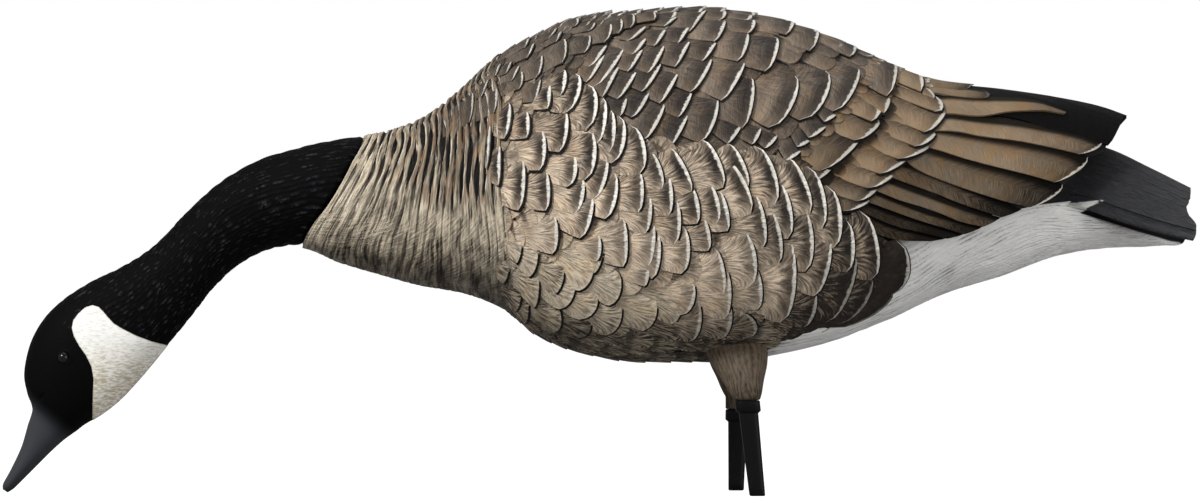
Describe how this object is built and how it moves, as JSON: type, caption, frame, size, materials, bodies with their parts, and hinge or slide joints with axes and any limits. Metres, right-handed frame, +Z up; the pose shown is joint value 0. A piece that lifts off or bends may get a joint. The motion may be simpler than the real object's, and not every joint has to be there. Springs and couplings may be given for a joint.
{
  "type": "goose decoy",
  "caption": "Feeding Canada goose decoy: lowered black neck and head with white cheeks, carved grey-brown plumage, folded wings, fanned tail and leg posts.",
  "frame": {"origin": "middle of the footprint, on the floor", "axes": "+Z up, +X towards the tail, +Y towards the goose's right side"},
  "size_m": [0.8326, 0.2366, 0.3435],
  "materials": {
    "body": "painted, carved plumage, dull",
    "head_neck": "flocked black with white cheeks",
    "eye": "polished",
    "leg": "satin black"
  },
  "bodies": {
    "root": {"body": "body", "head_neck": "head_neck", "eye_left": "eye", "eye_right": "eye", "leg_left": "leg", "leg_right": "leg"}
  },
  "joints": []
}
